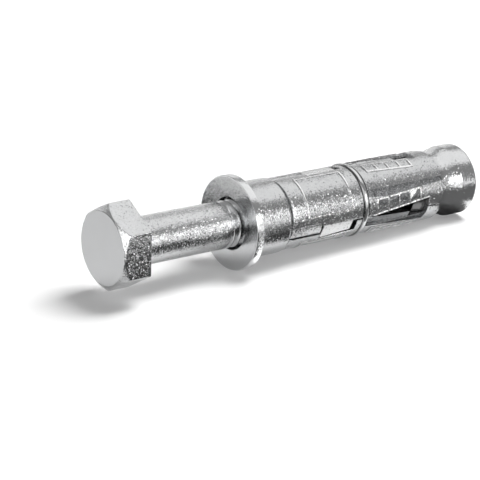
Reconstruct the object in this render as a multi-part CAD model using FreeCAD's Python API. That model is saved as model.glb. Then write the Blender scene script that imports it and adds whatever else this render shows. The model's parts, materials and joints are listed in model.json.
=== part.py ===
# Shield anchor for masonry, hole 16 mm, bolt M10: a hexagon bolt with a loose washer,
# a ferrule, three expanding segments held by a wire ring, and a cone nut.
# It lies as it comes to rest, on the rims of the washer and the nut. Millimetres, +Z up,
# origin on the floor under the middle of the whole anchor, +X towards the nut.
import FreeCAD
import Part
import math
import os

# Driving dimensions: bolt
thread_d = 10.0
thread_play = 0.05
shank_play = 0.03
bolt_length = 85.0
thread_length = 62.0
tip_chamfer = 1.0
head_af = 16.0
head_sides = 6
head_height = 6.4
head_face_d = 15.4
head_chamfer_angle = 44.0
under_head_fillet = 0.4

# Driving dimensions: washer
washer_od = 20.0
washer_play = 0.5
washer_t = 1.8
washer_edge = 0.25
washer_gap = 24.6
face_play = 0.05

# Driving dimensions: ferrule
ferrule_proud = 0.35
ferrule_length = 8.6
ferrule_wall = 2.8
ferrule_play = 0.4
ferrule_round = 1.2
ferrule_rear_round = 0.4
ferrule_lip = 1.0

# Driving dimensions: shield
shield_length = 60.0
segment_count = 3
segment_play = 0.35
segment_wall = 2.3
segment_end_chamfer = 0.3
shoulder_start = 10.0
shoulder_round = 0.9
neck_wall = 1.15
flange_wall = 1.7
flange_length = 3.3
flange_play = 0.3
first_seam_angle = -15.6

# Driving dimensions: what the seam between two segments looks like
seam_gap = 0.3
tab_end = 17.2
tab_reach = 1.75
tab_recess = 0.35
tab_inset = 0.8
tongue_slit = 0.4
tongue_reach = 3.0
tongue_taper = 0.7
tongue_flat = 0.1
tongue_clear = 1.3
window_end = 26.6
slot_start = 31.0
slot_depth = 2.0
slot_dip = 1.0
notch_length = 4.7
notch_depth = 2.4
strip_recess = 0.65
strip_start_depth = 2.4
strip_end_depth = 3.9
foot_length = 4.0
foot_round = 2.7

# Driving dimensions: raised lines on a segment
line_w = 0.35
line_h = 0.16
panel_start = 13.1
panel_end = 24.9
panel_low_angle = 19.6
panel_high_angle = 89.6
ladder_start = 31.7
ladder_tail = 6.7
ladder_cells = 4
ladder_low_angle = 16.8
ladder_high_angle = 83.2
ladder_low_wide_angle = 27.7
ladder_high_wide_angle = 17.5
ladder_slant_angle = 6.1
pocket_length = 2.3
pocket_width = 2.0
pocket_depth = 0.4

# Driving dimensions: wire ring
wire_d = 1.4
wire_sides = 8
wire_proud = 0.3
wire_play = 0.1
ring_middle = 28.75
ring_gap_angle = 10.0

# Driving dimensions: cone nut
nut_proud = 0.1
nut_length = 16.8
nut_out = 9.6
nut_tail = 8.0
nut_front_wall = 1.2
nut_flare_length = 3.8
nut_flare_steps = 3
nut_edge = 0.4
cone_slope = 0.1
cone_play = 0.1

# Places that follow from the sizes: radii, from the thread outwards
thread_r = thread_d / 2
shank_r = thread_r - shank_play
washer_hole_r = thread_r + washer_play
ferrule_bore_r = thread_r + ferrule_play
segment_bore_r = thread_r + segment_play
neck_r = segment_bore_r + neck_wall
flange_r = segment_bore_r + flange_wall
segment_r = segment_bore_r + segment_wall
ferrule_r = segment_r + ferrule_proud
nut_r = segment_r + nut_proud
nut_front_r = thread_r + nut_front_wall
ring_r = segment_r + wire_proud - wire_d / 2
groove_r = ring_r - wire_d / 2 - wire_play
groove_half = wire_d / 2 + wire_play

# Places that follow from the sizes: stations along the axis, from the ferrule's front face
washer_back = -face_play
washer_front = washer_back - washer_t
head_under = washer_front - washer_gap
head_front = head_under - head_height
bolt_tip = head_under + bolt_length
thread_start = bolt_tip - thread_length
flange_start = ferrule_wall + flange_play
flange_end = flange_start + flange_length
lip_start = ferrule_length - ferrule_lip
nut_front = shield_length - nut_length
nut_neck_end = shield_length - nut_tail
segment_end = shield_length - nut_out
tongue_start = tab_end + tongue_slit
tongue_end = window_end - tongue_clear
slot_end = segment_end - foot_length
notch_start = slot_end - notch_length
ladder_pitch = (segment_end - ladder_tail - ladder_start) / ladder_cells

# What the shapes share
ROUND = 1 - math.cos(math.radians(45))  # a small turned edge is two flats that meet at its middle
TO_NUT = FreeCAD.Vector(1, 0, 0)
TO_HEAD = FreeCAD.Vector(-1, 0, 0)
DOWN_TILT = FreeCAD.Vector(0, 1, 0)
ORIGIN = FreeCAD.Vector(0, 0, 0)
segment_angle = 360 / segment_count
reach = 2 * segment_r
before = flange_start - reach
beyond = segment_end + reach


def cone_r(x):
    """Radius of the nut's cone at station x."""
    return nut_front_r + cone_slope * (x - nut_front)


def outline(*moves):
    """Closed face in the plane of x and radius. A move is a point, or a middle and an end of an arc."""
    start = FreeCAD.Vector(moves[0][0], 0, moves[0][1])
    here = start
    edges = []
    for move in moves[1:]:
        if isinstance(move[0], tuple):
            middle = FreeCAD.Vector(move[0][0], 0, move[0][1])
            end = FreeCAD.Vector(move[1][0], 0, move[1][1])
            edges.append(Part.Arc(here, middle, end).toShape())
        else:
            end = FreeCAD.Vector(move[0], 0, move[1])
            edges.append(Part.makeLine(here, end))
        here = end
    if (here - start).Length > Part.Precision.confusion():
        edges.append(Part.makeLine(here, start))
    return Part.Face(Part.Wire(edges))


def turned(*moves, angle=360):
    """Solid of revolution about the anchor's axis; a part turn starts at +Z and goes towards +Y."""
    return outline(*moves).revolve(ORIGIN, TO_HEAD, angle)


def turn(shape, angle):
    """A copy of a shape, turned about the anchor's axis from +Z towards +Y."""
    copy = shape.copy()
    copy.rotate(ORIGIN, TO_HEAD, angle)
    return copy


def shell(x0, x1, r0, r1):
    """Tube between two radii."""
    return turned((x0, r0), (x0, r1), (x1, r1), (x1, r0))


def radial_prism(*moves):
    """An outline in x and y over the axis, extruded outwards along +Z from the bolt to clear air."""
    flat = outline(*moves)
    flat.rotate(ORIGIN, TO_NUT, -90)
    flat.translate(FreeCAD.Vector(0, 0, thread_r / 2))
    return flat.extrude(FreeCAD.Vector(0, 0, reach))


def hex_bolt():
    """Hexagon bolt, one forging: chamfered head, plain shank and threaded end with a chamfered tip."""
    corner = head_af / 2 / math.cos(math.pi / head_sides)
    points = []
    for k in range(head_sides + 1):
        a = 2 * math.pi * k / head_sides
        points.append(FreeCAD.Vector(head_front, corner * math.sin(a), corner * math.cos(a)))
    prism = Part.Face(Part.makePolygon(points)).extrude(FreeCAD.Vector(head_height, 0, 0))
    face_r = head_face_d / 2
    run = (head_af - face_r) * math.tan(math.radians(head_chamfer_angle))
    blank = turned((head_front, 0), (head_front, face_r), (head_front + run, head_af),
                   (head_under, head_af), (head_under, 0))
    head = prism.common(blank)
    r = shank_r
    f = under_head_fillet
    t = thread_r - thread_play
    root = head_under - head_height / 2
    shaft = turned((root, 0), (root, r + f), (head_under, r + f),
                   (head_under + f * ROUND, r + f * ROUND), (head_under + f, r),
                   (thread_start, r), (thread_start + thread_play, t),
                   (bolt_tip - tip_chamfer, t), (bolt_tip, t - tip_chamfer), (bolt_tip, 0))
    return head.fuse(shaft).removeSplitter()


def washer():
    """Plain stamped washer: the punch side has rounded rims, the other side a small burr chamfer."""
    ro = washer_od / 2
    ri = washer_hole_r
    e = washer_edge
    c = e / 2
    k = e * ROUND
    return turned((washer_front, ri + e), (washer_front, ro - e),
                  (washer_front + k, ro - k), (washer_front + e, ro),
                  (washer_back - c, ro), (washer_back, ro - c),
                  (washer_back, ri + c), (washer_back - c, ri), (washer_front + e, ri),
                  (washer_front + k, ri + k))


def ferrule():
    """Drawn steel cap: a thick front wall, a chamber for the segments' flanges and a lip behind them."""
    ro = ferrule_r
    ri = ferrule_bore_r
    chamber = flange_r + flange_play / 2
    lip = (neck_r + chamber) / 2
    f = ferrule_round
    g = ferrule_rear_round
    return turned((0, ri), (0, ro - f), (f * ROUND, ro - f * ROUND), (f, ro),
                  (ferrule_length - g, ro),
                  (ferrule_length - g * ROUND, ro - g * ROUND), (ferrule_length, ro - g),
                  (ferrule_length, lip), (lip_start, lip), (lip_start, chamber),
                  (ferrule_wall, chamber), (ferrule_wall, ri))


def segment_blank():
    """Ring-shaped blank of a segment: flange, neck, shoulder, ring groove and the taper inside."""
    r = segment_r
    bore = segment_bore_r
    f = shoulder_round
    c = segment_end_chamfer
    taper_start = nut_front + (bore - cone_play - nut_front_r) / cone_slope
    return turned((flange_start, bore), (flange_start, flange_r), (flange_end, flange_r),
                  (flange_end, neck_r), (shoulder_start, neck_r), (shoulder_start, r - f),
                  (shoulder_start + f * ROUND, r - f * ROUND), (shoulder_start + f, r),
                  (ring_middle - groove_half, r), (ring_middle - groove_half, groove_r),
                  (ring_middle + groove_half, groove_r), (ring_middle + groove_half, r),
                  (segment_end - c, r), (segment_end, r - c),
                  (segment_end, cone_r(segment_end) + cone_play), (taper_start, bore))


def lower_side():
    """What is cut away beyond the lower seam edge. Tab, tongue, slanted slot edge and foot stay."""
    g = seam_gap / 2
    r = foot_round
    k = r * ROUND
    end = segment_end
    return radial_prism((before, -reach), (before, g), (shoulder_start, g),
                        (shoulder_start, -tab_reach), (tab_end, -tab_reach), (tab_end, g),
                        (tongue_start, g), (tongue_start, -tongue_reach),
                        (tongue_end, tongue_taper - tongue_reach), (tongue_end, g),
                        (slot_start, g), (slot_end, slot_depth), (slot_end, -g), (end - r, -g),
                        ((end - k, -g + k), (end, -g + r)), (beyond, -g + r), (beyond, -reach))


def upper_side():
    """What is cut away beyond the upper seam edge, clear of the neighbour's tab, tongue and foot."""
    g = seam_gap / 2
    r = foot_round
    k = r * ROUND
    end = segment_end
    tab_seat = -tab_reach - seam_gap
    window_seat = -tongue_reach - seam_gap
    foot_seat = -g - seam_gap
    return radial_prism((before, reach), (before, -g), (shoulder_start, -g),
                        (shoulder_start, tab_seat), (tab_end, tab_seat), (tab_end, window_seat),
                        (window_end, window_seat + tongue_taper), (window_end, -g), (slot_start, -g),
                        (notch_start, -slot_dip), (notch_start, -notch_depth),
                        (slot_end, -notch_depth), (slot_end, foot_seat), (end - r, foot_seat),
                        ((end - k, foot_seat - k), (end, foot_seat - r)),
                        (beyond, foot_seat - r), (beyond, reach))


def tongue_cut():
    """Flat pressed on the tongue: a wedge outside the plane from the seam edge to its rim."""
    inner = seam_gap / 2
    rim_z = math.sqrt(segment_r ** 2 - tongue_reach ** 2) - tongue_flat
    slope = (math.sqrt(segment_r ** 2 - inner ** 2) - rim_z) / (inner + tongue_reach)
    past = 2 * tongue_reach
    corners = [(inner, reach), (inner, rim_z + slope * (inner + tongue_reach)),
               (-past, rim_z + slope * (tongue_reach - past)), (-past, reach)]
    points = [FreeCAD.Vector(tongue_start, y, z) for y, z in corners]
    face = Part.Face(Part.makePolygon(points + points[:1]))
    return face.extrude(FreeCAD.Vector(tongue_end - tongue_start, 0, 0))


def strip_cut():
    """Shallow step along the upper seam edge behind the ring, where the neighbour's slot edge passes."""
    edge = ring_middle + groove_half
    flat = radial_prism((edge, segment_r), (slot_end, segment_r), (slot_end, -strip_end_depth),
                        (edge, -strip_start_depth))
    return flat.common(shell(edge, slot_end, segment_r - strip_recess, reach))


def tab_cut():
    """Shallow step that makes the tab at the lower seam edge thinner than the segment."""
    flat = radial_prism((shoulder_start, -segment_r), (shoulder_start, tab_inset),
                        (tab_end, tab_inset), (tab_end, -segment_r))
    return flat.common(shell(shoulder_start, tab_end, segment_r - tab_recess, reach))


def bar(x0, y0, x1, y1):
    """One straight raised line on the flat pattern, line_w wide, with its ends squared off."""
    length = math.hypot(x1 - x0, y1 - y0)
    ux = (x1 - x0) / length * line_w / 2
    uy = (y1 - y0) / length * line_w / 2
    return radial_prism((x0 - ux + uy, y0 - uy - ux), (x1 + ux + uy, y1 + uy - ux),
                        (x1 + ux - uy, y1 + uy + ux), (x0 - ux - uy, y0 - uy + ux))


def panel():
    """Thin raised frame round the area where a size would be stamped: two arcs and two straight lines."""
    r0 = segment_r - line_h
    r1 = segment_r + line_h
    h = line_w / 2
    wide = panel_high_angle - panel_low_angle
    bars = []
    for x in (panel_start, panel_end):
        arc = turned((x - h, r0), (x - h, r1), (x + h, r1), (x + h, r0), angle=wide)
        bars.append(turn(arc, panel_low_angle))
    for angle in (panel_low_angle, panel_high_angle):
        line = bar(panel_start, 0, panel_end, 0).common(shell(panel_start - h, panel_end + h, r0, r1))
        bars.append(turn(line, angle))
    return bars[0].fuse(bars[1:])


def ladder(middle, width, slant, sides):
    """Raised ladder: rails on the named sides follow the slanted slot edge, with rungs across."""
    half = segment_r * math.sin(math.radians(width / 2))
    drift = segment_r * math.sin(math.radians(slant / 2))
    length = ladder_cells * ladder_pitch
    x0 = ladder_start
    bars = [bar(x0, side * half - drift, x0 + length, side * half + drift) for side in sides]
    for k in range(ladder_cells + 1):
        x = x0 + k * ladder_pitch
        y = drift * (2 * k / ladder_cells - 1)
        bars.append(bar(x, y - half, x, y + half))
    flat = bars[0].fuse(bars[1:])
    band = shell(x0 - line_w, x0 + length + line_w, segment_r - line_h, segment_r + line_h)
    raised = flat.common(band)
    return turn(raised, middle)


def corner_pocket():
    """Cutter for the lower ladder's last cell: a three-cornered pocket, deepest at its upper front."""
    half = segment_r * math.sin(math.radians(ladder_low_wide_angle / 2))
    drift = segment_r * math.sin(math.radians(ladder_slant_angle / 2))
    slope = 2 * drift / (ladder_cells * ladder_pitch)
    x = ladder_start + (ladder_cells - 1) * ladder_pitch + line_w / 2
    y = half + drift - slope * ladder_pitch - line_w / 2
    corners = [(x, y, pocket_depth), (x + pocket_length, y + slope * pocket_length, 0),
               (x, y - pocket_width, 0)]
    points = []
    for px, py, depth in corners:
        points.append(FreeCAD.Vector(px, py, math.sqrt(segment_r ** 2 - py ** 2) - depth))
    floor = Part.Face(Part.makePolygon(points + points[:1]))
    return turn(floor.extrude(FreeCAD.Vector(0, 0, reach)), ladder_low_angle)


def segment():
    """One expanding segment, from its lower seam at +Z round to its upper seam, segment_angle further."""
    lines = [panel(), ladder(ladder_low_angle, ladder_low_wide_angle, ladder_slant_angle, [1]),
             ladder(ladder_high_angle, ladder_high_wide_angle, -ladder_slant_angle, [-1, 1])]
    side = (180 - segment_angle) / 2
    keep = turned((before, 0), (before, reach), (beyond, reach), (beyond, 0), angle=180)
    body = segment_blank().common(turn(keep, -side)).fuse(lines)
    body = body.cut([lower_side(), turn(upper_side(), segment_angle)])
    body = body.cut([tab_cut(), tongue_cut(), turn(strip_cut(), segment_angle), corner_pocket()])
    return body.removeSplitter()


def wire_ring():
    """Open hoop of round wire in the segments' groove, with its gap over the seam at the back."""
    points = []
    for k in range(wire_sides):
        a = 2 * math.pi * (k + 0.5) / wire_sides
        points.append((ring_middle + wire_d / 2 * math.cos(a), ring_r + wire_d / 2 * math.sin(a)))
    wire = turned(*points, angle=360 - ring_gap_angle)
    return turn(wire, seam_direction(2) + ring_gap_angle / 2)


def cone_nut():
    """Cone nut, one turned piece: threaded bore, taper that spreads the segments, hollow rear flare.

    The flare follows an arc that leaves the neck level, in a few turned steps.
    """
    bore = thread_r
    neck = cone_r(segment_end)
    rise = nut_r - neck
    flare_r = (nut_flare_length ** 2 + rise ** 2) / (2 * rise)
    flare = []
    for k in range(nut_flare_steps + 1):
        along = nut_flare_length * k / nut_flare_steps
        flare.append((nut_neck_end + along, neck + flare_r - math.sqrt(flare_r ** 2 - along ** 2)))
    return turned((nut_front, bore + nut_edge), (nut_front, nut_front_r), (segment_end, neck), *flare,
                  (shield_length - nut_edge, nut_r), (shield_length, nut_r - nut_edge),
                  (shield_length, bore + nut_edge), (shield_length - nut_edge, bore),
                  (nut_front + nut_edge, bore))


def seam_direction(k):
    """Angle from +Z of the seam below segment k; the first seam itself is counted up from the -Y side."""
    return first_seam_angle - 90 + k * segment_angle


def lay_down(shapes):
    """Tilts the anchor on to the rims of washer and nut and centres it over the origin."""
    rim_x = washer_back - washer_edge / 2
    foot_x = shield_length - nut_edge
    drop = washer_od / 2 - nut_r
    tilt = math.degrees(math.atan2(drop, foot_x - rim_x))
    laid = {}
    for name, shape in shapes.items():
        laid[name] = shape.copy()
        laid[name].rotate(ORIGIN, DOWN_TILT, tilt)
    box = Part.makeCompound(list(laid.values())).optimalBoundingBox(False, False)
    move = FreeCAD.Vector(-box.Center.x, -box.Center.y, -box.ZMin)
    for shape in laid.values():
        shape.translate(move)
    return laid, tilt, move


pieces = {"hex_bolt": hex_bolt(), "washer": washer(), "ferrule": ferrule(), "cone_nut": cone_nut(),
          "wire_ring": wire_ring()}
one_segment = segment()
for k in range(segment_count):
    pieces["shield_segment_%d" % (k + 1)] = turn(one_segment, seam_direction(k))
laid, tilt, move = lay_down(pieces)
os.makedirs("parts", exist_ok=True)
for name, shape in laid.items():
    shape.exportStep("parts/" + name + ".step")
    print(name, shape.ShapeType, len(shape.Solids), shape.isValid(), round(shape.Volume, 1))
print("tilt %.3f degrees, moved by %.3f, %.3f, %.3f" % (tilt, move.x, move.y, move.z))
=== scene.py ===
# %% [markdown]
# Dressing a shield anchor
#
# A shield anchor is a zinc-plated steel fixing for masonry: a hexagon bolt with a loose washer, a ferrule,
# three spreading segments held by a wire ring, and a cone nut. Its solids come ready from the CAD frame,
# where the sizes are settled. They could be shown as they are, but a plain solid has sharp edges and no
# screw thread. This lesson keeps each solid's size and place, adds that detail in mesh code, gives every
# piece its finish and lights it on a pale floor.

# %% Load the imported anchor
import json
import math

import bmesh
import bpy
from mathutils import Matrix, Vector


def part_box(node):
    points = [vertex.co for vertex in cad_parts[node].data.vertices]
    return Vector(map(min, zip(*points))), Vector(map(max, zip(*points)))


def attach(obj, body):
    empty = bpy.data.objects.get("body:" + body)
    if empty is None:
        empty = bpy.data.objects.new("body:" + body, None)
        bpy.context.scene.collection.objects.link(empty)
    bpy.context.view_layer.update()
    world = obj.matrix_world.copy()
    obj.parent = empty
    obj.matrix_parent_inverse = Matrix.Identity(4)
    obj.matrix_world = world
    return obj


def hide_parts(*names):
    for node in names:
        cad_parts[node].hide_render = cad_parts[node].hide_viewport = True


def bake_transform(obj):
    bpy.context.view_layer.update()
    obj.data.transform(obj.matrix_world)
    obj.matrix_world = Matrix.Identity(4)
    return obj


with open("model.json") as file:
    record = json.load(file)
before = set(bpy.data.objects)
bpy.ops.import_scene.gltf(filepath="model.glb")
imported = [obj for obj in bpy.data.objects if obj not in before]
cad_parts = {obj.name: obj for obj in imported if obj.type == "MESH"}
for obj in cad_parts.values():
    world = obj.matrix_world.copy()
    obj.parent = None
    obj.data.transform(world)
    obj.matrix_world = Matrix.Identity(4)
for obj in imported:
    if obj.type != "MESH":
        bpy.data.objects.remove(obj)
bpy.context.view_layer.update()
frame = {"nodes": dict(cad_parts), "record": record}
MM = 0.001
slack = 0.05
print("nodes", sorted(frame["nodes"]))
print("places are compared with a slack of", slack, "mm")

# %% [markdown]
# The anchor's own axis
#
# The anchor lies on the rims of its washer and nut, so its axis dips a little. Pieces could be modelled in
# that tilted place, but they are easier to make straight, along X with the ferrule's front face at zero,
# and to lay down at the end. The place and the direction are read from the joint that turns the bolt, so
# they follow the solids.

# %% Find the axis
joints = frame["record"]["behaviour"]["joints"]
turning = next(joint for joint in joints if joint["name"] == "bolt_turn")
ferrule_face = Vector(turning["pos_m"])
to_nut = Vector(turning["axis"]).normalized()
dip = math.asin(-to_nut.z)
lie = Matrix.Translation(ferrule_face) @ Matrix.Rotation(dip, 4, "Y")
straighten = lie.inverted()
print("the axis dips by", round(math.degrees(dip), 3), "degrees")


# %% [markdown]
# Straight copies
#
# A solid's own mesh is never touched. A piece that needs more detail starts as a copy and stands for the
# solid when it is done. The solid's mesh is loose triangles, so the copy gets shared points merged and flat
# faces made whole, because a bevel has to know which faces meet at an edge. Modelling each piece again from
# nothing would work too, but its size could drift away from the solid's.


# %% Copy a solid
def straight_copy(node):
    """A merged copy of a solid's mesh, with its axis along X and the ferrule's face at zero."""
    solid = frame["nodes"][node]
    made = bmesh.new()
    made.from_mesh(solid.data)
    made.transform(straighten @ solid.matrix_world)
    bmesh.ops.remove_doubles(made, verts=made.verts, dist=0.001 * MM)
    bmesh.ops.dissolve_limit(made, angle_limit=math.radians(0.05), verts=made.verts, edges=made.edges)
    return made


def radius(point):
    """Distance from the anchor's axis, for a point of a straight copy."""
    return math.hypot(point.y, point.z)


sample = straight_copy("washer")
print("the washer is", round(2 * max(radius(v.co) for v in sample.verts) / MM, 2), "mm across")
sample.free()


# %% [markdown]
# Broken edges
#
# Pressed and plated steel has no knife edges, and the thin bright lines along them are what makes metal
# look real. A finish could fake them, but a real bevel also shows in the outline and in the mesh.


# %% Break edges
def break_edges(made, width, steps, least=12.0, wanted=None, clamp=True):
    """Rounds off the convex edges that turn by more than the least angle."""
    chosen = []
    for edge in made.edges:
        if len(edge.link_faces) == 2 and edge.calc_face_angle_signed(0.0) > math.radians(least):
            if wanted is None or wanted(edge):
                chosen.append(edge)
    bmesh.ops.bevel(made, geom=chosen, offset=width * MM, offset_type="OFFSET", segments=steps,
                    profile=0.5, affect="EDGES", clamp_overlap=clamp, material=-1)
    return len(chosen)


sample = straight_copy("ferrule")
sample_edges = break_edges(sample, 0.3, 3)
sample.free()
print("edges that a bevel can break on the ferrule", sample_edges)


# %% [markdown]
# Even shading
#
# A turned surface is made of narrow flat strips, and where a slot cuts it short the usual smooth shading
# tilts at the cut. More strips would hide it but swell the mesh. Here each corner of a face gets its own
# normal instead. On a strip that runs round the axis it points straight out from the axis, elsewhere it is
# the face's normal, and neighbours that nearly agree are averaged by area, which also makes the broken
# edges look round.


# %% Find a face's own normal
widest_strip = 13.0
smooth_limit = 40.0


def own_normal(face, point):
    """A face's normal at one of its corners: straight out from the axis where the face is turned."""
    across = Vector((0, face.normal.y, face.normal.z))
    out = Vector((0, point.y, point.z))
    if across.length < 0.02 or out.length == 0:
        return face.normal
    facing = across.normalized()
    sides = [Vector((0, v.co.y, v.co.z)).normalized().dot(facing) for v in face.verts]
    side = 1 if sides[0] > 0 else -1
    if min(side * s for s in sides) < math.cos(math.radians(widest_strip / 2)):
        return face.normal
    return Vector((face.normal.x, 0, 0)) + out.normalized() * across.length * side


print("strips up to", widest_strip, "degrees wide are shaded as turned")


# %% Average the normals
def even_normals(made):
    """One normal for each corner of each face, in the order of the mesh."""
    made.normal_update()
    alike = math.cos(math.radians(smooth_limit))
    sizes = {face.index: face.calc_area() for face in made.faces}
    own = {}
    for v in made.verts:
        for face in v.link_faces:
            own[(v.index, face.index)] = own_normal(face, v.co)
    normals = []
    for face in made.faces:
        for v in face.verts:
            mine = own[(v.index, face.index)]
            total = Vector((0, 0, 0))
            for other in v.link_faces:
                theirs = own[(v.index, other.index)]
                if mine.dot(theirs) > alike:
                    total += theirs * sizes[other.index]
            normals.append(total.normalized() if total.length > 0 else mine.copy())
    return normals


print("faces that turn by less than", smooth_limit, "degrees are shaded as one")


# %% Lay a piece down
def lay_down(made, name, *materials):
    """Lays a straight piece down where the solids are and makes it an object."""
    bmesh.ops.recalc_face_normals(made, faces=made.faces)
    for part in (made.verts, made.edges, made.faces):
        part.index_update()
    normals = [lie.to_3x3() @ n for n in even_normals(made)]
    made.transform(lie)
    mesh = bpy.data.meshes.new(name)
    made.to_mesh(mesh)
    made.free()
    mesh.shade_smooth()
    mesh.normals_split_custom_set(normals)
    for material in materials:
        mesh.materials.append(material)
    thing = bpy.data.objects.new(name, mesh)
    bpy.context.collection.objects.link(thing)
    print(name, len(mesh.polygons), "faces")
    return thing


print("pieces are laid down from", tuple(round(v / MM, 2) for v in ferrule_face), "mm")


# %% [markdown]
# Marks on a piece
#
# Some metal lies under its neighbours and is darkened, a painted shade, and the raised lines and the
# tongue's flat are lightened, a painted highlight. That could be painted by hand on an unwrapped piece,
# and again after each change of shape. Here a rule gives each point a number from its straight place in
# mm instead: one number is one where the metal lies deep, for the painted shade, and another is one on a
# raised line or the tongue's flat, for the painted highlight. The finishes read these numbers.


# %% Mark the points
def steps_up(value, low, high):
    """Zero below low, one above high and a straight line between them."""
    return min(1.0, max(0.0, (value - low) / (high - low)))


def set_mark(thing, name, rule):
    """Gives each point a number by a rule on its straight place in mm."""
    layer = thing.data.attributes.new(name, "FLOAT", "POINT")
    for v, item in zip(thing.data.vertices, layer.data):
        item.value = rule(straighten @ v.co / MM)


print("halfway up a step is marked", steps_up(0.5, 0.0, 1.0))


# %% [markdown]
# Zinc plate
#
# Bright zinc is a thin crystalline coat. It mirrors the studio, but each grain leans a little, so a dark
# reflection breaks up into dark and light specks. A bump alone gives soft waves without sharp grains, so
# the group tilts the normal cell by cell, most of them hardly and a few a lot. It reads the piece's own
# coordinates, so the grain has the same size on every piece. All the finishes share the one group.


# %% Add and feed nodes
def feed(tree, node, inputs):
    """Gives a node's inputs their values, or links them from other nodes."""
    for name, value in inputs.items():
        if isinstance(value, bpy.types.NodeSocket):
            tree.links.new(value, node.inputs[name])
        else:
            node.inputs[name].default_value = value


def add_node(tree, kind, inputs, **settings):
    """A new shader node with its settings and its inputs."""
    node = tree.nodes.new("ShaderNode" + kind)
    for name, value in settings.items():
        setattr(node, name, value)
    feed(tree, node, inputs)
    return node


def calculate(tree, operation, first, second):
    """One operation on two numbers, each of them a value or a link."""
    return add_node(tree, "Math", {0: first, 1: second}, operation=operation).outputs[0]


print("node groups so far", len(bpy.data.node_groups))

# %% Open the grain group
grain_group = bpy.data.node_groups.new("zinc_grain", "ShaderNodeTree")
for name, value in (("Grain size", 0.35), ("Patch size", 3.0), ("Lean", 0.4)):
    knob = grain_group.interface.new_socket(name=name, in_out="INPUT", socket_type="NodeSocketFloat")
    knob.default_value = value
for name, kind in (("Height", "Float"), ("Patches", "Float"), ("Normal", "Vector")):
    grain_group.interface.new_socket(name=name, in_out="OUTPUT", socket_type="NodeSocket" + kind)
print("sockets on the grain group", len(grain_group.interface.items_tree))


# %% Fill the grain group
def fill_grain_group(group):
    """Noise height, a mask of patches, and the normal with each grain leaning its own way."""
    knobs = group.nodes.new("NodeGroupInput").outputs
    results = group.nodes.new("NodeGroupOutput")
    place = add_node(group, "TexCoord", {}).outputs["Object"]
    grain_scale = calculate(group, "DIVIDE", 1 / MM, knobs["Grain size"])
    patch_scale = calculate(group, "DIVIDE", 1 / MM, knobs["Patch size"])
    fine = add_node(group, "TexNoise", {"Vector": place, "Scale": grain_scale, "Detail": 3.0,
                                        "Roughness": 0.65})
    patches = add_node(group, "TexNoise", {"Vector": place, "Scale": patch_scale, "Detail": 2.0})
    cells = add_node(group, "TexVoronoi", {"Vector": place, "Scale": grain_scale})
    away = add_node(group, "VectorMath", {0: cells.outputs["Color"], 1: (0.5, 0.5, 0.5)},
                    operation="SUBTRACT").outputs[0]
    size = add_node(group, "VectorMath", {0: away}, operation="LENGTH").outputs["Value"]
    rare = calculate(group, "POWER", calculate(group, "MULTIPLY", size, 1.5), 3.0)
    amount = calculate(group, "MULTIPLY", rare, knobs["Lean"])
    lean = add_node(group, "VectorMath", {0: away, "Scale": amount}, operation="SCALE").outputs[0]
    normal = add_node(group, "NewGeometry", {}).outputs["Normal"]
    leaning = add_node(group, "VectorMath", {0: normal, 1: lean}, operation="ADD").outputs[0]
    unit = add_node(group, "VectorMath", {0: leaning}, operation="NORMALIZE").outputs[0]
    feed(group, results, {"Height": fine.outputs["Fac"], "Patches": patches.outputs["Fac"], "Normal": unit})


fill_grain_group(grain_group)
print("nodes in the grain group", len(grain_group.nodes))

# %% [markdown]
# Zinc finishes
#
# Each finish is the same plate with its own greys, grain and polish. The plate wanders between a light and
# a dark grey in patches, its low spots are darker, and the marks paint a highlight or shade into it. One
# function makes them all, so they stay alike where they should.

# %% Set the greys of the marks
speck_grey = 0.36
# The grey of the painted highlight and the grey of the painted shade.
mark_greys = {"painted_highlight": 0.9, "painted_shade": 0.16}


def grey(value, tint=0.0):
    """A grey colour, a little bluer by the tint."""
    return (value, value + tint, value + 2 * tint, 1)


def mix(tree, share, under, over):
    """A colour mix: the over colour shows where the share is one."""
    inputs = {"Factor": share, "A": under, "B": over}
    return add_node(tree, "Mix", inputs, data_type="RGBA").outputs["Result"]


print("greys of the marks", mark_greys)


# %% Describe a zinc finish
def zinc(name, light, dark, grain, lean, wave, rough=(0.1, 0.2), marks=()):
    """Zinc plate: two greys, the size of its grains, how much they lean, and its waves' height in mm."""
    material = bpy.data.materials.new(name)
    material.use_nodes = True
    tree = material.node_tree
    grains = add_node(tree, "Group", {"Grain size": grain, "Lean": lean}, node_tree=grain_group).outputs
    plate = mix(tree, grains["Patches"], grey(dark, 0.005), grey(light, 0.005))
    low_spots = add_node(tree, "MapRange", {"Value": grains["Height"], "From Min": 0.5, "From Max": 0.28,
                                            "To Max": 0.2})
    plate = mix(tree, low_spots.outputs["Result"], plate, grey(speck_grey))
    # Each mark paints a highlight or shade into the plate's colour.
    for mark in marks:
        share = add_node(tree, "Attribute", {}, attribute_name=mark).outputs["Fac"]
        plate = mix(tree, share, plate, grey(mark_greys[mark]))
    polish = add_node(tree, "MapRange", {"Value": grains["Patches"], "To Min": rough[0], "To Max": rough[1]})
    bump = add_node(tree, "Bump", {"Strength": 1.0, "Distance": wave * MM, "Height": grains["Height"],
                                   "Normal": grains["Normal"]})
    feed(tree, tree.nodes["Principled BSDF"], {"Base Color": plate, "Metallic": 1.0,
                                               "Roughness": polish.outputs["Result"],
                                               "Normal": bump.outputs["Normal"]})
    return material


print("a finish can read the marks", sorted(mark_greys))

# %% [markdown]
# Screw thread
#
# The solids have plain cylinders where the thread is. A bumped finish could draw the teeth, but they show
# against the light where the thread starts, so it is wound as real metal. One small tooth is spun round the
# axis with a step forwards in each turn, which is how a spin makes a helix. The tooth's foot goes into the
# root, so no crack shows, and both ends fade away as they do where a die starts and stops.

# %% Choose the thread's sizes
pitch = 1.5
root_r = 4.08
crest_r = 4.95
crest_flat = 0.19
sunk_foot = 0.1
flank = math.tan(math.radians(30))
print("the thread is", round(crest_r - root_r, 2), "mm deep")


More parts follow.
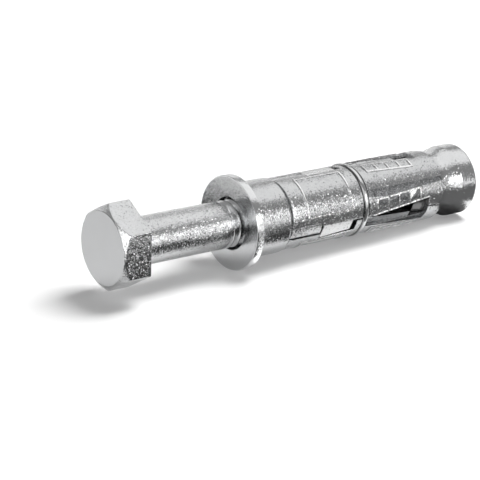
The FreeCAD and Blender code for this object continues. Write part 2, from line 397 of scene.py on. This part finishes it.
# %% Wind a ridge
def ridge(first, last, base_r, top_r, flat, steps=32):
    """A right-handed ridge from one station to another, in mm. Its top may be outside or inside its base."""
    foot = flat / 2 + abs(top_r - base_r) * flank
    corners = [(-foot, base_r), (-flat / 2, top_r), (flat / 2, top_r), (foot, base_r)]
    made = bmesh.new()
    tooth = [made.verts.new(((first + x) * MM, 0, r * MM)) for x, r in corners]
    made.faces.new(tooth)
    turns = (last - first) / pitch
    count = round(turns * steps)
    whole = made.verts[:] + made.edges[:] + made.faces[:]
    forwards = ((last - first) / count * MM, 0, 0)
    bmesh.ops.spin(made, geom=whole, cent=(0, 0, 0), axis=(1, 0, 0), dvec=forwards,
                   angle=2 * math.pi * turns, steps=count, use_merge=False)
    for v in made.verts:
        out = radius(v.co) / MM
        if abs(out - base_r) > 0.01:
            fade_in = (v.co.x / MM - first + foot) / (pitch / 2)
            fade_out = (last - v.co.x / MM + foot) / pitch
            height = (out - base_r) * max(0.0, min(1.0, fade_in, fade_out))
            v.co.y *= (base_r + height) / out
            v.co.z *= (base_r + height) / out
    return made


sample = ridge(0.0, pitch, root_r - sunk_foot, crest_r, crest_flat)
print("one turn of the ridge has", len(sample.faces), "faces")
sample.free()


# %% Join skins
def join(made, other):
    """Adds another straight piece to this one, as its own closed skin."""
    mesh = bpy.data.meshes.new("part")
    other.to_mesh(mesh)
    other.free()
    made.from_mesh(mesh)
    bpy.data.meshes.remove(mesh)


print("meshes before the first piece", len(bpy.data.meshes))

# %% [markdown]
# Bolt
#
# The bolt is cold forged: a hexagon head with a chamfered face, a plain shank and a rolled thread. On the
# copy the plain end shrinks to the root of the thread, after a short run-out cone, and the ridge is wound on
# to it. The head's face gets a calmer grain than the shank, because the tool presses it smooth, and darker
# greys, a painted shade. The thread's tooth gets a smoother finish, because rolling burnishes it.

# %% Mix the bolt's finishes
shade_mark = ("painted_shade",)
bolt_zinc = zinc("bolt_zinc", 0.70, 0.62, grain=0.22, lean=0.5, wave=0.05, rough=(0.1, 0.18), marks=shade_mark)
# The head's face: a calm grain, and darker greys that are painted shade.
shaded_face_zinc = zinc("shaded_face_zinc", 0.51, 0.47, grain=0.22, lean=0.08, wave=0.02, marks=shade_mark)
thread_zinc = zinc("thread_zinc", 0.74, 0.66, grain=0.22, lean=0.15, wave=0.02, rough=(0.08, 0.14),
                   marks=shade_mark)
print("finishes of the bolt", bolt_zinc.name, shaded_face_zinc.name, thread_zinc.name)

# %% Shrink the end to the root
solid_thread = 62.0
thread_length = 63.3
run_out = 0.9
bolt = straight_copy("hex_bolt")
tip = max(v.co.x for v in bolt.verts) / MM
solid_start = tip - solid_thread
thread_start = tip - thread_length
for v in bolt.verts:
    out = radius(v.co) / MM
    if v.co.x / MM > solid_start - slack and out > root_r:
        if out > crest_r + 0.01:
            v.co.x = thread_start * MM
        else:
            if v.co.x / MM < solid_start + 1:
                v.co.x = (thread_start + run_out) * MM
            v.co.y *= root_r / out
            v.co.z *= root_r / out
print("the thread starts at", round(thread_start, 2), "mm along the axis")

# %% Break the head's edges
face_depth = 4.0
head_depth = 7.0
head_start = min(v.co.x for v in bolt.verts) / MM
for face in bolt.faces:
    if face.normal.x < -0.95 and face.calc_center_median().x / MM < head_start + face_depth:
        face.material_index = 1


def on_head(edge):
    """Whether an edge belongs to the bolt's head."""
    return max(v.co.x for v in edge.verts) / MM < head_start + head_depth


head_edges = break_edges(bolt, 0.2, 2, 20, on_head)
print("broken edges on the head", head_edges)

# %% Wind the bolt's thread
start_gap = 0.55
tip_gap = 1.0
thread_first = thread_start + start_gap
thread_last = tip - tip_gap
bolt_ridge = ridge(thread_first, thread_last, root_r - sunk_foot, crest_r, crest_flat)
for face in bolt_ridge.faces:
    face.material_index = 2
join(bolt, bolt_ridge)
bolt_piece = lay_down(bolt, "threaded_bolt", bolt_zinc, shaded_face_zinc, thread_zinc)
# The bolt is darkened inside the shield, a painted shade.
set_mark(bolt_piece, "painted_shade", lambda p: steps_up(p.x, -1.0, 1.0))
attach(bolt_piece, "bolt")
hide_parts("hex_bolt")
print("turns of thread on the bolt", round((thread_last - thread_first) / pitch, 1))

# %% [markdown]
# Cone nut
#
# The nut's cone is hidden in the segments and its flared end stands out behind them, with a well rounded
# rim. Its thread fills the grooves of the bolt's thread, so its ridge starts half a pitch further on. A
# plain hole would be quicker, but the thread shows when the bolt's tip stands back.

# %% Round the nut's end
nut_zinc = zinc("nut_zinc", 0.70, 0.64, grain=0.27, lean=0.2, wave=0.03, rough=(0.06, 0.14), marks=shade_mark)
end_round = 1.3
end_reach = 2.0
bore_reach = 7.0
rim_r = 9.6
rim_bevel = 0.7
nut = straight_copy("cone_nut")
nut_front = min(v.co.x for v in nut.verts) / MM
nut_end = max(v.co.x for v in nut.verts) / MM
for v in nut.verts:
    out = radius(v.co) / MM
    if v.co.x / MM > nut_end - 0.5 and out > rim_r - rim_bevel:
        if out > rim_r - 0.1:
            v.co.x = (nut_end - end_round) * MM
        else:
            v.co.y *= (rim_r - end_round) / out
            v.co.z *= (rim_r - end_round) / out
print("the nut is", round(nut_end - nut_front, 2), "mm long")


# %% Break the nut's edges
def before_end(edge):
    """Whether an edge lies clear of the nut's rounded end."""
    return max(v.co.x for v in edge.verts) / MM < nut_end - end_reach


def round_the_end(edge):
    """Whether an edge lies on the nut's rounded end, outside its bore."""
    outside = min(radius(v.co) for v in edge.verts) / MM > bore_reach
    return outside and min(v.co.x for v in edge.verts) / MM > nut_end - end_reach


small_edges = break_edges(nut, 0.15, 2, wanted=before_end)
end_edges = break_edges(nut, 0.7, 3, wanted=round_the_end)
print("broken edges on the nut", small_edges, "and round its end", end_edges)

# %% Wind the nut's thread
end_margin = 0.9
half_turns = math.ceil((nut_front + end_margin - thread_first) / pitch)
nut_first = thread_first + (half_turns + 0.5) * pitch
nut_turns = math.floor((nut_end - end_margin - nut_first) / pitch)
join(nut, ridge(nut_first, nut_first + nut_turns * pitch, base_r=5.1, top_r=4.25, flat=0.24))
nut_piece = lay_down(nut, "threaded_nut", nut_zinc)
segment_corners = [straighten @ Vector(corner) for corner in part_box("shield_segment_1")]
segments_end = max(corner.x for corner in segment_corners) / MM
# The nut is darkened where the segments cover it, a painted shade.
set_mark(nut_piece, "painted_shade", lambda p: 1 - steps_up(p.x, segments_end - 0.5, segments_end + 0.3))
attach(nut_piece, "nut")
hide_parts("cone_nut")
print("turns of thread in the nut", nut_turns)

# %% [markdown]
# Washer
#
# The washer is stamped from sheet, and its rim is painted lighter than its face, a painted highlight. The
# solid's shape is right, so it could stay and only be given a finish, but then the rim couldn't have its
# own. The copy keeps the shape and adds a second material on the rim.

# %% Make the washer
washer_zinc = zinc("washer_zinc", 0.58, 0.52, grain=0.22, lean=0.12, wave=0.02, rough=(0.08, 0.14))
# A lighter copy of the washer's plate for the rim, a painted highlight.
rim_highlight_zinc = zinc("rim_highlight_zinc", 0.76, 0.70, grain=0.22, lean=0.15, wave=0.02, rough=(0.08, 0.14))
rim_width = 0.3
washer = straight_copy("washer")
washer_r = max(radius(v.co) for v in washer.verts) / MM
rim = [face for face in washer.faces if min(radius(v.co) for v in face.verts) / MM > washer_r - rim_width]
for face in rim:
    face.material_index = 1
washer_piece = lay_down(washer, "stamped_washer", washer_zinc, rim_highlight_zinc)
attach(washer_piece, "washer")
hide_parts("washer")
print("faces on the rim", len(rim))

# %% [markdown]
# Ferrule
#
# The ferrule is a cap drawn from sheet over the segments' front ends. Drawing leaves it round at both rims
# and smoother than the pressed segments, so the copy gets a wider bevel and a finer grain.

# %% Make the ferrule
ferrule_zinc = zinc("ferrule_zinc", 0.64, 0.58, grain=0.2, lean=0.3, wave=0.03)
ferrule = straight_copy("ferrule")
ferrule_edges = break_edges(ferrule, 0.3, 3)
ferrule_piece = lay_down(ferrule, "drawn_ferrule", ferrule_zinc)
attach(ferrule_piece, "shield")
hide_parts("ferrule")
print("broken edges on the ferrule", ferrule_edges)

# %% [markdown]
# Segments
#
# The three segments are pressed from thick steel. The solids have the seams, the tongue, the slanted slot
# and the raised ladders. The copies add what pressing leaves at their edges, and two finishes: bright plate
# outside, and a darker, rougher plate on the floors of the ladder's cells and on the near sunk strip, a
# painted shade. These places could be picked face by face, but the numbers of faces change with each new
# solid, so they are found from sizes in mm on the straight piece.

# %% Mix the segments' finishes
shade_and_highlight_marks = ("painted_highlight", "painted_shade")
segment_zinc = zinc("segment_zinc", 0.64, 0.57, grain=0.26, lean=0.4, wave=0.05, marks=shade_and_highlight_marks)
# A darker, rougher copy of the plate: painted shade on the ladder's cells and the near strip.
shaded_zinc = zinc("shaded_zinc", 0.29, 0.21, grain=0.25, lean=0.6, wave=0.06, rough=(0.2, 0.3), marks=shade_and_highlight_marks)
print("finishes of the segments", segment_zinc.name, shaded_zinc.name)

# %% Set the places on a segment
segment_count = 3
seam_step = 360 / segment_count
first_seam = -15.6
segment_r = 7.65
neck_end = 12.0
neck_r = 6.4
strip_depth = 0.65
strip_r = segment_r - strip_depth
slot_start = 31.0
slot_end = 46.3


def angle_round(point):
    """Angle of a point round the axis, from the near side upwards."""
    return math.degrees(math.atan2(point.z, -point.y))


print("seams at", [round(first_seam + k * seam_step, 1) for k in range(segment_count)], "degrees")


# %% Find the painted shade and highlight
tongue_start = 17.4
tongue_end = 26.4
tongue_low = 96


def painted_shade(point):
    """Painted shade: how far a point lies under the outer face, or under the neck where the ferrule ends."""
    outside = neck_r if point.x < neck_end else segment_r
    return steps_up(outside - radius(point), 0.75, 1.8)


def highlight_share(point):
    """Painted highlight: whether a point stands on a raised line or on the flat pressed on the tongue."""
    above_seam = (angle_round(point) - first_seam) % seam_step
    on_tongue = tongue_start < point.x < tongue_end and above_seam > tongue_low and radius(point) > 7.2
    return 1.0 if on_tongue else steps_up(radius(point) - segment_r, 0.02, 0.1)


print("the inside of a segment is marked", painted_shade(Vector((20, 0, 5))))


# %% Find the faces for painted shade
ladder_start = 31.9
ladder_end = 43.6
ladder_low = 1
ladder_high = 31


def in_ladder(face):
    """Whether a face is the floor of a cell of the lower ladder."""
    middle = face.calc_center_median() / MM
    above = (angle_round(middle) - first_seam) % seam_step + first_seam
    outer = abs(radius(middle) - segment_r) < 0.1
    return outer and ladder_start < middle.x < ladder_end and ladder_low < above < ladder_high


def on_strip(face):
    """Whether a face is the outside of the sunk strip on the near side."""
    middle = face.calc_center_median() / MM
    sunk = abs(radius(middle) - strip_r) < 0.08 and slot_start < middle.x < slot_end
    return sunk and middle.z < 0 and middle.y < 0 and face.calc_area() > 0.3 * MM * MM


sample = straight_copy("shield_segment_1")
print("faces in the cells of a ladder", sum(in_ladder(face) for face in sample.faces))
sample.free()


# %% Choose the seam edges
def at_seam(edge):
    """Whether an edge lies on a segment's outer face and borders a cut through it."""
    far = min(radius(v.co) for v in edge.verts) / MM > segment_r - 0.1
    near = max(radius(v.co) for v in edge.verts) / MM < segment_r + 0.02
    return far and near and edge.calc_length() > 0.5 * MM


print("the outer face has a radius of", segment_r, "mm")

# %% [markdown]
# Lip and strip
#
# Where the tool cuts the slanted slot it pushes up a thin lip along the upper edge, and the strip below the
# slot is bent inwards, more and more away from the ring. The lip could be pulled out of the segment's own
# edge, but that edge is slanted and curved, so it is a small bar, spun with a step forwards as the thread
# is, and sunk a little into the surface. The strip is eased by moving its points out from the axis.

# %% Press up the lip
slot_narrow = math.degrees(math.asin(0.15 / segment_r))
slot_wide = math.degrees(math.asin(2.0 / segment_r))
lip_half = 0.17
lip_height = 0.13
lip_steps = 16


def rolled_lip(k):
    """The lip pressed up along the slanted edge of a segment's slot, as a short helical bar."""
    lowest = math.radians(first_seam + k * seam_step + slot_narrow + 1.2)
    outside = segment_r + lip_height
    corners = [(-lip_half, segment_r - 0.3), (lip_half, segment_r - 0.3), (lip_half, segment_r),
               (-lip_half / 2, outside), (-lip_half, outside)]
    made = bmesh.new()
    profile = []
    for across, r in corners:
        angle = lowest + across / segment_r
        spot = Vector((slot_start, -r * math.cos(angle), r * math.sin(angle)))
        profile.append(made.verts.new(spot * MM))
    made.faces.new(profile)
    whole = made.verts[:] + made.edges[:] + made.faces[:]
    bmesh.ops.spin(made, geom=whole, cent=(0, 0, 0), axis=(-1, 0, 0), steps=lip_steps, use_merge=False,
                   angle=math.radians(slot_wide - slot_narrow),
                   dvec=((slot_end - slot_start) / lip_steps * MM, 0, 0))
    return made


print("the slot opens by", round(slot_wide - slot_narrow, 1), "degrees")

# %% Slope the strip
strip_rise = 0.58


def rise_at(along):
    """How far the strip has risen at a station, from nothing at the slot's end."""
    return strip_rise * (slot_end - along) / (slot_end - slot_start)


def ease_strip(segment):
    """Lets the sunk strip rise to the outer face towards the ring."""
    for v in segment.verts:
        along = v.co.x / MM
        out = radius(v.co) / MM
        if slot_start - slack < along < slot_end + 2 * slack and abs(out - strip_r) < 0.06:
            v.co.y *= (out + rise_at(along)) / out
            v.co.z *= (out + rise_at(along)) / out


print("halfway along, the strip has risen", round(rise_at((slot_start + slot_end) / 2), 2), "mm")

# %% [markdown]
# Rolled edges
#
# Pressing rolls the edges over at the seams and the slots. Only the edges that border a cut through the
# outer face get a bevel, because one round every small edge would melt the raised lines. It leaves slivers
# where cuts meet, so those are dissolved before the piece is made whole.

# %% Press the segments
groove_start = 9.9
groove_end = 11.0
groove_shift = 0.9


def press(node):
    """A segment with its groove widened, its strip sloped, its faces for painted shade chosen and its edges
    rolled.
    """
    segment = straight_copy(node)
    for v in segment.verts:
        if groove_start < v.co.x / MM < groove_end and radius(v.co) / MM > neck_r + 0.15:
            v.co.x -= groove_shift * MM
    segment.normal_update()
    darkened = [face for face in segment.faces if in_ladder(face) or on_strip(face)]
    ease_strip(segment)
    for face in darkened:
        face.material_index = 1
    rolled = break_edges(segment, 0.15, 3, 50, at_seam, clamp=False)
    bmesh.ops.dissolve_degenerate(segment, dist=0.004 * MM, edges=segment.edges)
    bmesh.ops.triangulate(segment, faces=segment.faces, quad_method="BEAUTY", ngon_method="BEAUTY")
    print(node, "has", len(darkened), "dull faces and", rolled, "rolled edges")
    return segment


for k in range(1, segment_count + 1):
    segment = press("shield_segment_%d" % k)
    middle = sum((v.co for v in segment.verts), Vector()) / len(segment.verts)
    own_seam = round((angle_round(middle) - seam_step / 2 - first_seam) / seam_step)
    join(segment, rolled_lip(own_seam))
    piece = lay_down(segment, "pressed_segment_%d" % k, segment_zinc, shaded_zinc)
    # Painted shade where the metal lies deep, and a painted highlight on the raised lines and the tongue's
    # flat.
    set_mark(piece, "painted_shade", painted_shade)
    set_mark(piece, "painted_highlight", highlight_share)
    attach(piece, "segment_%d" % k)
    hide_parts("shield_segment_%d" % k)

# %% [markdown]
# Wire ring
#
# The ring is an open hoop of spring wire that gives as the segments spread. Each third of it is spun from a
# round profile.

# %% Measure the ring
ring_wire = zinc("ring_wire", 0.74, 0.68, grain=0.2, lean=0.1, wave=0.01, marks=shade_mark)
solid_ring = straight_copy("wire_ring")
ring_middle = sum(v.co.x for v in solid_ring.verts) / len(solid_ring.verts)
ring_outer = max(radius(v.co) for v in solid_ring.verts)
ring_inner = min(radius(v.co) for v in solid_ring.verts)
solid_ring.free()
wire_r = 0.7 * MM
ring_r = (ring_outer + ring_inner) / 2
ring_gap = math.radians(10)
ring_seam = math.radians(first_seam - 90)
third = 2 * math.pi / segment_count
print("the ring's middle line has a radius of", round(ring_r / MM, 2), "mm")


def wire_arc(first, last):
    """A stretch of the ring between two angles from +Z towards +Y."""
    made = bmesh.new()
    bmesh.ops.create_circle(made, cap_ends=True, segments=16, radius=wire_r)
    bmesh.ops.translate(made, vec=(ring_middle, ring_r, 0), verts=made.verts)
    turn = Matrix.Rotation(math.pi / 2 - first, 3, "X")
    bmesh.ops.rotate(made, cent=(0, 0, 0), matrix=turn, verts=made.verts)
    whole = made.verts[:] + made.edges[:] + made.faces[:]
    bmesh.ops.spin(made, geom=whole, cent=(0, 0, 0), axis=(-1, 0, 0), angle=last - first,
                   steps=round(math.degrees(last - first) / 2.5), use_merge=False)
    return made


print("each stretch covers up to", round(math.degrees(third)), "degrees")

# %% Make the ring
open_end = 1
shaded_r = 7.88
for k in range(segment_count):
    low = ring_seam + k * third
    high = ring_seam + (k + 1) * third
    if k == open_end:
        high -= ring_gap / 2
    if k == open_end + 1:
        low += ring_gap / 2
    piece = lay_down(wire_arc(low, high), "ring_wire_%d" % (k + 1), ring_wire)
    # The wire is darkened where it sinks into the groove, a painted shade.
    set_mark(piece, "painted_shade", lambda p: steps_up(shaded_r - radius(p), 0.0, 0.15))
    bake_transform(piece)
    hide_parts("wire_ring")

# %% [markdown]
# Floor
#
# The floor is pale, and to the camera it has to look white all round, yet keep the anchor's shadow. More
# light would do that and bleach the metal too. Instead it glows by itself, only for the camera and for
# mirrors: a little near the anchor, where its shadow falls, and nearly to white further out.


# %% Put a sheet in the studio
def matt(name, value, rough=1.0, glow=0.0):
    """A grey without shine, which may glow."""
    material = bpy.data.materials.new(name)
    material.use_nodes = True
    shader = material.node_tree.nodes["Principled BSDF"]
    feed(material.node_tree, shader, {"Base Color": grey(value), "Roughness": rough,
                                      "Specular IOR Level": 0.0, "Emission Color": grey(1.0),
                                      "Emission Strength": glow})
    return material


def stage_sheet(made, name, material):
    """Makes a sheet of the studio from a mesh that is already in its place."""
    mesh = bpy.data.meshes.new(name)
    made.to_mesh(mesh)
    made.free()
    mesh.materials.append(material)
    thing = bpy.data.objects.new(name, mesh)
    bpy.context.collection.objects.link(thing)
    return thing


floor_grid = bmesh.new()
bmesh.ops.create_grid(floor_grid, x_segments=1, y_segments=1, size=4.0)
pale_floor = matt("pale_floor", 0.9, rough=0.9)
floor = stage_sheet(floor_grid, "floor", pale_floor)
print("the floor is", round(floor.dimensions.x, 1), "m wide")


# %% Let the floor glow
def glow_outwards(material, near, far, least, most):
    """A glow for the camera and for mirrors that grows with the distance from the anchor."""
    tree = material.node_tree
    path = add_node(tree, "LightPath", {}).outputs
    seen = calculate(tree, "MAXIMUM", path["Is Camera Ray"], path["Is Glossy Ray"])
    place = add_node(tree, "TexCoord", {}).outputs["Object"]
    away = add_node(tree, "VectorMath", {0: place}, operation="LENGTH").outputs["Value"]
    share = add_node(tree, "MapRange", {"Value": away, "From Min": near, "From Max": far, "To Min": least,
                                        "To Max": most}).outputs["Result"]
    glow = calculate(tree, "MULTIPLY", seen, share)
    feed(tree, tree.nodes["Principled BSDF"], {"Emission Strength": glow})


glow_outwards(pale_floor, near=0.1, far=0.6, least=0.14, most=0.95)
print("the floor's finish has", len(pale_floor.node_tree.nodes), "nodes")

# %% [markdown]
# Cards
#
# Polished metal shows what stands round it, and on a white floor alone it would look flat and milky. A
# photographer lays dark and bright cards beside the object, just out of sight. These lie on the floor,
# where only mirrors see them, so they cost neither light nor shadow. The dark ones are painted shade in the
# metal's reflections, and the bright ones glow though they are no lamps, a painted highlight. A few follow
# the mirrored lines of sight, to put a dark or bright patch in one chosen place.

# %% Lay plain cards
card_height = 0.0003
card_far = -0.0615
# Dark cards for painted shade in the reflections, and a glowing card for a painted highlight.
dark = matt("dark_card", 0.13)
darker = matt("darker_card", 0.05)
bright = matt("bright_card", 0.9, glow=1.0)
cards = {
    "card_left": ((-0.2, 0.003), (card_far, -0.0095), darker),
    "card_middle": ((0.003, 0.0395), (card_far, -0.0116), dark),
    "card_under_nut": ((0.0395, 0.047), (card_far, -0.001), dark),
    "card_right": ((0.047, 0.5), (card_far, -0.0085), dark),
    "card_beyond": ((0.065, 0.5), (-0.0085, 0.08), dark),
    "card_back": ((-0.049, 0.01), (0.02, 0.09), dark),
}


def card(made, name, material):
    """A sheet that only mirrors see."""
    thing = stage_sheet(made, name, material)
    thing.visible_camera = False
    thing.visible_diffuse = False
    thing.visible_shadow = False


def four_sided(corners):
    """A flat sheet just above the floor."""
    made = bmesh.new()
    made.faces.new([made.verts.new((x, y, card_height)) for x, y in corners])
    return made


for name, ((left, right), (low, high), material) in cards.items():
    card(four_sided([(left, low), (right, low), (right, high), (left, high)]), name, material)
print("plain cards", len(cards))

# %% Lay cards along the mirrored lines of sight
lane_far = -0.6
lane_slope = 0.676
lane_shift = lane_slope * (card_far - lane_far)
lanes = {"lane_dark": (0.0539, 0.0749, dark), "lane_bright": (0.0752, 0.0815, bright)}
for name, (left, right, material) in lanes.items():
    card(four_sided([(left + lane_shift, lane_far), (right + lane_shift, lane_far), (right, card_far),
                     (left, card_far)]), name, material)
print("lanes", sorted(lanes))

# %% Fill the washer's rim with light
sight = Vector((0.56, 0.757, -0.336)).normalized()
rim_stations = (-1.9, -0.1)
rim_angles = (6, 0, -5, -10, -15, -20, -26, -32, -40)


def floor_spot(station, r, angle):
    """Where the floor shows in a turned surface, for a place in mm and an angle above the side."""
    turn = math.radians(angle)
    out = Vector((0, -math.cos(turn), math.sin(turn)))
    place = lie @ ((Vector((station, 0, 0)) + out * r) * MM)
    ray = sight - out * 2 * sight.dot(out)
    spot = place + ray * (place.z / -ray.z)
    return spot.x, spot.y, 2 * card_height


# A glowing card that only mirrors see, a painted highlight on the washer's rim.
band = bmesh.new()
pairs = []
for angle in rim_angles:
    pairs.append([band.verts.new(floor_spot(station, washer_r, angle)) for station in rim_stations])
for near, far in zip(pairs, pairs[1:]):
    band.faces.new([near[0], near[1], far[1], far[0]])
bmesh.ops.recalc_face_normals(band, faces=band.faces)
card(band, "rim_band", bright)
print("the rim's card has", len(rim_angles) - 1, "strips")

# %% [markdown]
# Light
#
# A soft box above on the right, the key, throws the shadow, and a low strip in front adds light and the
# bright line along the middle. The others are only there to be seen in the metal: a wide one overhead for
# the pale upper side, a small one for the spark on the nut, one behind, and one on the left for the head's
# face. A picture of a studio could stand in for them all, but lamps can be placed and dimmed one by one.


# %% Hang the soft boxes
def soft_box(name, place, target, size, radiance, mirrored=True, lights=True):
    """An area lamp that looks at a point. Its radiance is what a mirror shows of it."""
    lamp = bpy.data.lights.new(name, "AREA")
    lamp.shape = "RECTANGLE"
    lamp.size = size[0]
    lamp.size_y = size[1]
    lamp.energy = radiance * math.pi * size[0] * size[1]
    thing = bpy.data.objects.new(name, lamp)
    bpy.context.collection.objects.link(thing)
    thing.location = place
    thing.rotation_euler = (Vector(target) - Vector(place)).to_track_quat("-Z", "Y").to_euler()
    thing.visible_camera = False
    thing.visible_glossy = mirrored
    thing.visible_diffuse = lights
    print(name, round(lamp.energy, 3), "W")


soft_box("overhead", (0.35, 0.04, 0.5), (0.35, 0.04, 0.0), (1.0, 0.62), 0.78, lights=False)
soft_box("front_strip", (0.045, -0.5, 0.15), (0.045, 0.0, 0.01), (0.6, 0.18), 2.8)
soft_box("nut_strip", (0.3765, -0.5, 0.04), (0.3765, 0.0, 0.04), (0.008, 0.08), 3.2, lights=False)
soft_box("back_box", (0.2, 0.75, 0.3), (0.2, 0.0, 0.0), (1.2, 0.45), 0.6, lights=False)
soft_box("left_box", (-0.45, -0.26, 0.2), (0.0, 0.0, 0.0), (0.45, 0.4), 2.0, lights=False)
soft_box("key", (0.28, -0.06, 0.6), (0.0, 0.0, 0.0), (0.36, 0.36), 12.5, mirrored=False)

# %% Fill the air
world = bpy.data.worlds.new("studio")
bpy.context.scene.world = world
world.use_nodes = True
studio = world.node_tree
shown = studio.nodes["Background"]
feed(studio, shown, {"Color": grey(0.12)})
path = add_node(studio, "LightPath", {}).outputs
for seen, value in (("Is Glossy Ray", 0.30), ("Is Camera Ray", 1.0)):
    sky = add_node(studio, "Background", {"Color": grey(value)})
    shown = add_node(studio, "MixShader", {0: path[seen], 1: shown.outputs[0], 2: sky.outputs[0]})
feed(studio, studio.nodes["World Output"], {"Surface": shown.outputs[0]})
print("nodes in the studio's air", len(studio.nodes))

# %% [markdown]
# Camera
#
# A long lens from well back keeps the anchor's sides nearly parallel, as a product photograph does. The
# place, the turn and the lens were fitted until the outlines of the ready solids met the photograph's.
# Framing by eye would be quicker but never quite matches.

# %% Place the camera
camera = bpy.data.objects.new("camera", bpy.data.cameras.new("camera"))
bpy.context.collection.objects.link(camera)
bpy.context.scene.camera = camera
camera.location = Vector((-266.00, -342.84, 157.88)) * MM
camera.rotation_euler = [math.radians(v) for v in (70.367, 0.191, -36.545)]
camera.data.lens = 164.02
camera.data.sensor_width = 36.0
camera.data.clip_start = 0.01
camera.data.clip_end = 20.0
bpy.context.scene.view_settings.view_transform = "Standard"
print("the camera stands", round(camera.location.length, 3), "m away")
